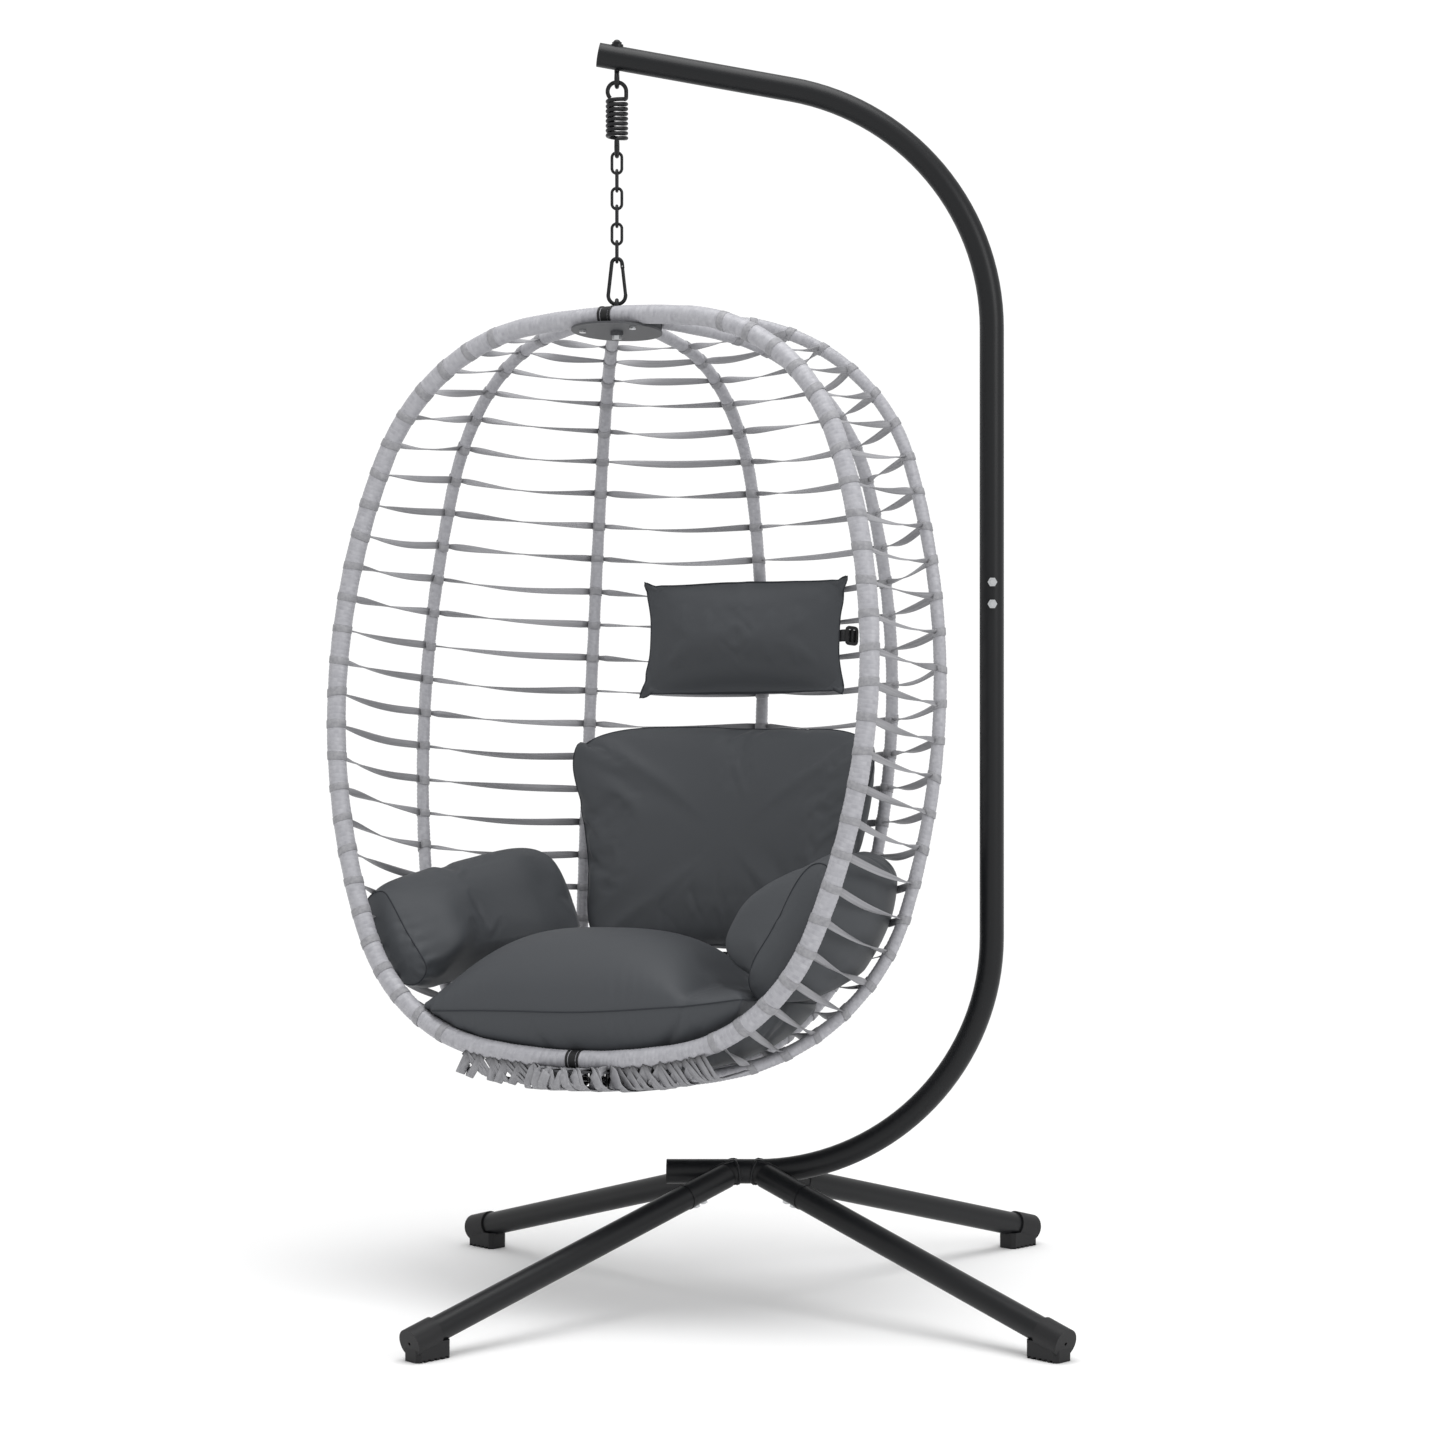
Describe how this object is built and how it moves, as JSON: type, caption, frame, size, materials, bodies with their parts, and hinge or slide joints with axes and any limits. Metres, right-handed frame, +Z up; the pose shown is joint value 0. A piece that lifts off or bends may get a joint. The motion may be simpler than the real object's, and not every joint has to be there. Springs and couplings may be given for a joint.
{
  "type": "hanging egg chair",
  "caption": "Egg-shaped wrapped wire basket seat with cushions, hung by a spring, chain and snap hook from a curved tube stand on splayed legs.",
  "frame": {"origin": "on the floor, under the middle of the whole chair's box", "axes": "+Z up, +X from the free end of the base tube towards the pole, the basket faces -Y and -X"},
  "size_m": [1.154, 0.936, 1.96],
  "materials": {
    "powder_coat": "satin black powder coat",
    "black_plastic": "moulded matt black",
    "plated_steel": "zinc plated",
    "hub_steel": "dark grey powder coat",
    "rib_tube": "dull aluminium tube under its winding",
    "winding": "light grey synthetic rattan, wound",
    "strip": "light grey synthetic rattan strip, ribbed",
    "cushion_cloth": "dark grey polyester, plain weave",
    "strap_web": "black elastic webbing"
  },
  "bodies": {
    "stand": {"lower_pole": "powder_coat", "upper_pole": "powder_coat", "leg_sockets": "powder_coat", "leg_front_left": "powder_coat", "leg_front_right": "powder_coat", "leg_back_left": "powder_coat", "leg_back_right": "powder_coat", "foot_caps": "black_plastic", "tube_plugs": "black_plastic", "pole_bolts": "plated_steel", "pole_nuts": "plated_steel", "leg_bolts": "plated_steel", "eye_bolt": "powder_coat", "eye_washer": "powder_coat", "dome_nut": "powder_coat"},
    "spring_top": {"spring_upper_hook": "powder_coat", "spring_coil": "powder_coat"},
    "spring_bottom": {"spring_lower_hook": "powder_coat"},
    "link_1": {"chain_link_1": "powder_coat"},
    "link_2": {"chain_link_2": "powder_coat"},
    "link_3": {"chain_link_3": "powder_coat"},
    "link_4": {"chain_link_4": "powder_coat"},
    "link_5": {"chain_link_5": "powder_coat"},
    "link_6": {"chain_link_6": "powder_coat"},
    "snap_hook": {"snap_hook": "powder_coat", "gate_pin": "plated_steel"},
    "gate": {"snap_hook_gate": "powder_coat"},
    "hub_eye": {"hub_eye": "powder_coat", "hub_nut": "plated_steel"},
    "basket": {"top_hub": "hub_steel", "bottom_hub": "hub_steel", "hub_pivots": "plated_steel", "hoop_bolts": "plated_steel", "hoop_left": "hub_steel", "hoop_right": "hub_steel", "hoop_wraps": "winding", "hoop_joints": "black_plastic", "rib_1": "rib_tube", "rib_2": "rib_tube", "rib_3": "rib_tube", "rib_4": "rib_tube", "rib_5": "rib_tube", "rib_wraps": "winding", "weave_bay_1": "strip", "weave_bay_2": "strip", "weave_bay_3": "strip", "weave_bay_4": "strip", "weave_bay_5": "strip", "weave_bay_6": "strip", "seat_cushion": "cushion_cloth", "left_arm_cushion": "cushion_cloth", "right_arm_cushion": "cushion_cloth", "back_cushion": "cushion_cloth", "head_pillow": "cushion_cloth", "pillow_strap": "strap_web", "strap_buckle": "black_plastic"}
  },
  "joints": [
    {"name": "spring_swing", "type": "hinge", "parent": "stand", "child": "spring_top", "pos_m": [-0.111, 0, 1.88643], "axis": [0, 1, 0], "range_deg": [-3, 12]},
    {"name": "spring_stretch", "type": "slide", "parent": "spring_top", "child": "spring_bottom", "axis": [0, 0, -1], "range_m": [0, 0.014], "stiffness_N_per_m": 87600, "springref_m": -0.006, "deforming": ["spring_coil"]},
    {"name": "link_1_swing", "type": "hinge", "parent": "spring_bottom", "child": "link_1", "pos_m": [-0.111, 0, 1.77803], "axis": [0, -1, 0], "range_deg": [-15, 3]},
    {"name": "link_2_swing", "type": "hinge", "parent": "link_1", "child": "link_2", "pos_m": [-0.111, 0, 1.75133], "axis": [1, 0, 0], "range_deg": [-15, 15]},
    {"name": "link_3_swing", "type": "hinge", "parent": "link_2", "child": "link_3", "pos_m": [-0.111, 0, 1.72368], "axis": [0, 1, 0], "range_deg": [-3, 15]},
    {"name": "link_4_swing", "type": "hinge", "parent": "link_3", "child": "link_4", "pos_m": [-0.111, 0, 1.69603], "axis": [-1, 0, 0], "range_deg": [-15, 15]},
    {"name": "link_5_swing", "type": "hinge", "parent": "link_4", "child": "link_5", "pos_m": [-0.111, 0, 1.66838], "axis": [0, -1, 0], "range_deg": [-15, 3]},
    {"name": "link_6_swing", "type": "hinge", "parent": "link_5", "child": "link_6", "pos_m": [-0.111, 0, 1.64073], "axis": [1, 0, 0], "range_deg": [-12, 12]},
    {"name": "snap_hook_swing", "type": "hinge", "parent": "link_6", "child": "snap_hook", "pos_m": [-0.111, 0, 1.61308], "axis": [0, 1, 0], "range_deg": [-3, 12]},
    {"name": "gate_swing", "type": "hinge", "parent": "snap_hook", "child": "gate", "pos_m": [-0.10249, 0, 1.6066], "axis": [0, 1, 0], "range_deg": [0, 25], "stiffness_Nm_per_rad": 0.05, "springref_deg": -34.38},
    {"name": "hub_tilt", "type": "hinge", "parent": "snap_hook", "child": "hub_eye", "pos_m": [-0.111, 0, 1.54768], "axis": [-1, 0, 0], "range_deg": [-12, 12]},
    {"name": "basket_spin", "type": "hinge", "parent": "hub_eye", "child": "basket", "pos_m": [-0.111, 0, 1.50718], "axis": [0, 0, 1], "continuous": true}
  ]
}
